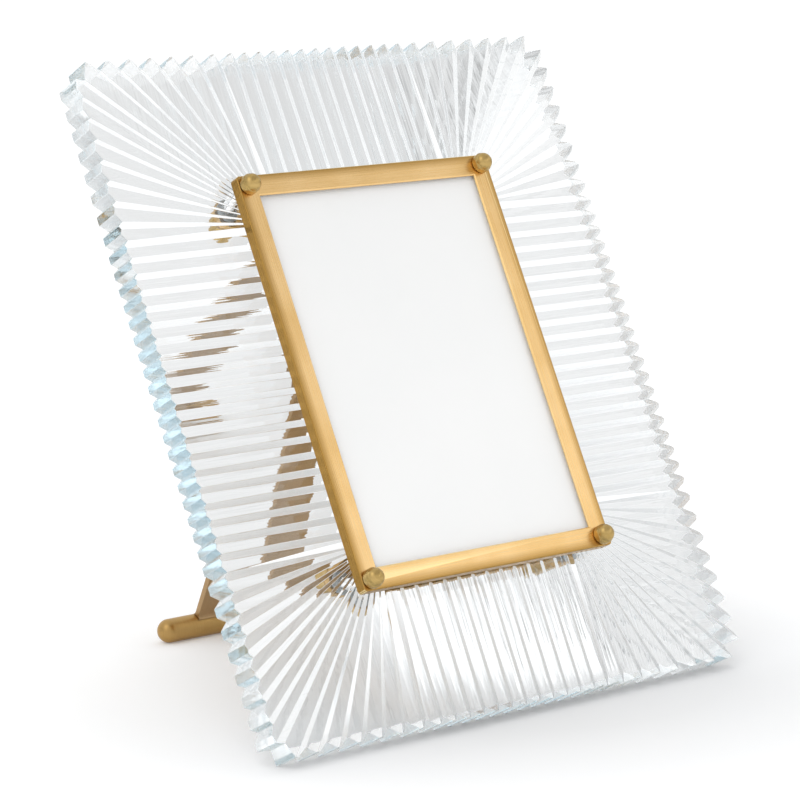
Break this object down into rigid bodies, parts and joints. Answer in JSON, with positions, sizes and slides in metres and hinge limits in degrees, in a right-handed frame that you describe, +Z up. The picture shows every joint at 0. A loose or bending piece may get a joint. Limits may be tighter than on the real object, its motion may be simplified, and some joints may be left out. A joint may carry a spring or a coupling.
{
  "type": "table picture frame",
  "caption": "Picture frame of thick fluted clear glass with a brass bezel on corner bolts, leaning on a folding brass prop with a round foot bar.",
  "frame": {"origin": "on the floor, under the middle of the standing frame's outer box", "axes": "+Z up, +X to the viewer's right, -Y towards the viewer; the prop stands behind at +Y"},
  "size_m": [0.271, 0.243, 0.2957],
  "materials": {
    "crystal": "clear fire-polished",
    "glazing": "clear",
    "satin_brass": "brushed satin",
    "knob_brass": "turned satin",
    "white_print": "smooth white card",
    "grey_board": "pressed fibre board",
    "silicone": "translucent matte"
  },
  "bodies": {
    "root": {"glass_plate": "crystal", "front_bezel": "satin_brass", "glazing_pane": "glazing", "photo_print": "white_print", "backing_board": "grey_board", "back_plate": "satin_brass", "knob_bolt_top_left": "knob_brass", "soft_washer_top_left": "silicone", "thumb_nut_top_left": "knob_brass", "knob_bolt_top_right": "knob_brass", "soft_washer_top_right": "silicone", "thumb_nut_top_right": "knob_brass", "knob_bolt_bottom_left": "knob_brass", "soft_washer_bottom_left": "silicone", "thumb_nut_bottom_left": "knob_brass", "knob_bolt_bottom_right": "knob_brass", "soft_washer_bottom_right": "silicone", "thumb_nut_bottom_right": "knob_brass", "hinge_bracket": "satin_brass", "hinge_screw_a": "knob_brass", "hinge_screw_b": "knob_brass", "hinge_screw_c": "knob_brass", "hinge_screw_d": "knob_brass", "hinge_pin": "knob_brass"},
    "prop": {"prop_strap": "satin_brass", "foot_bar": "satin_brass"}
  },
  "joints": [
    {"name": "prop_fold", "type": "hinge", "parent": "root", "child": "prop", "pos_m": [0, 0.0132, 0.22023], "axis": [1, 0, 0], "range_deg": [-51.6, 0]}
  ]
}
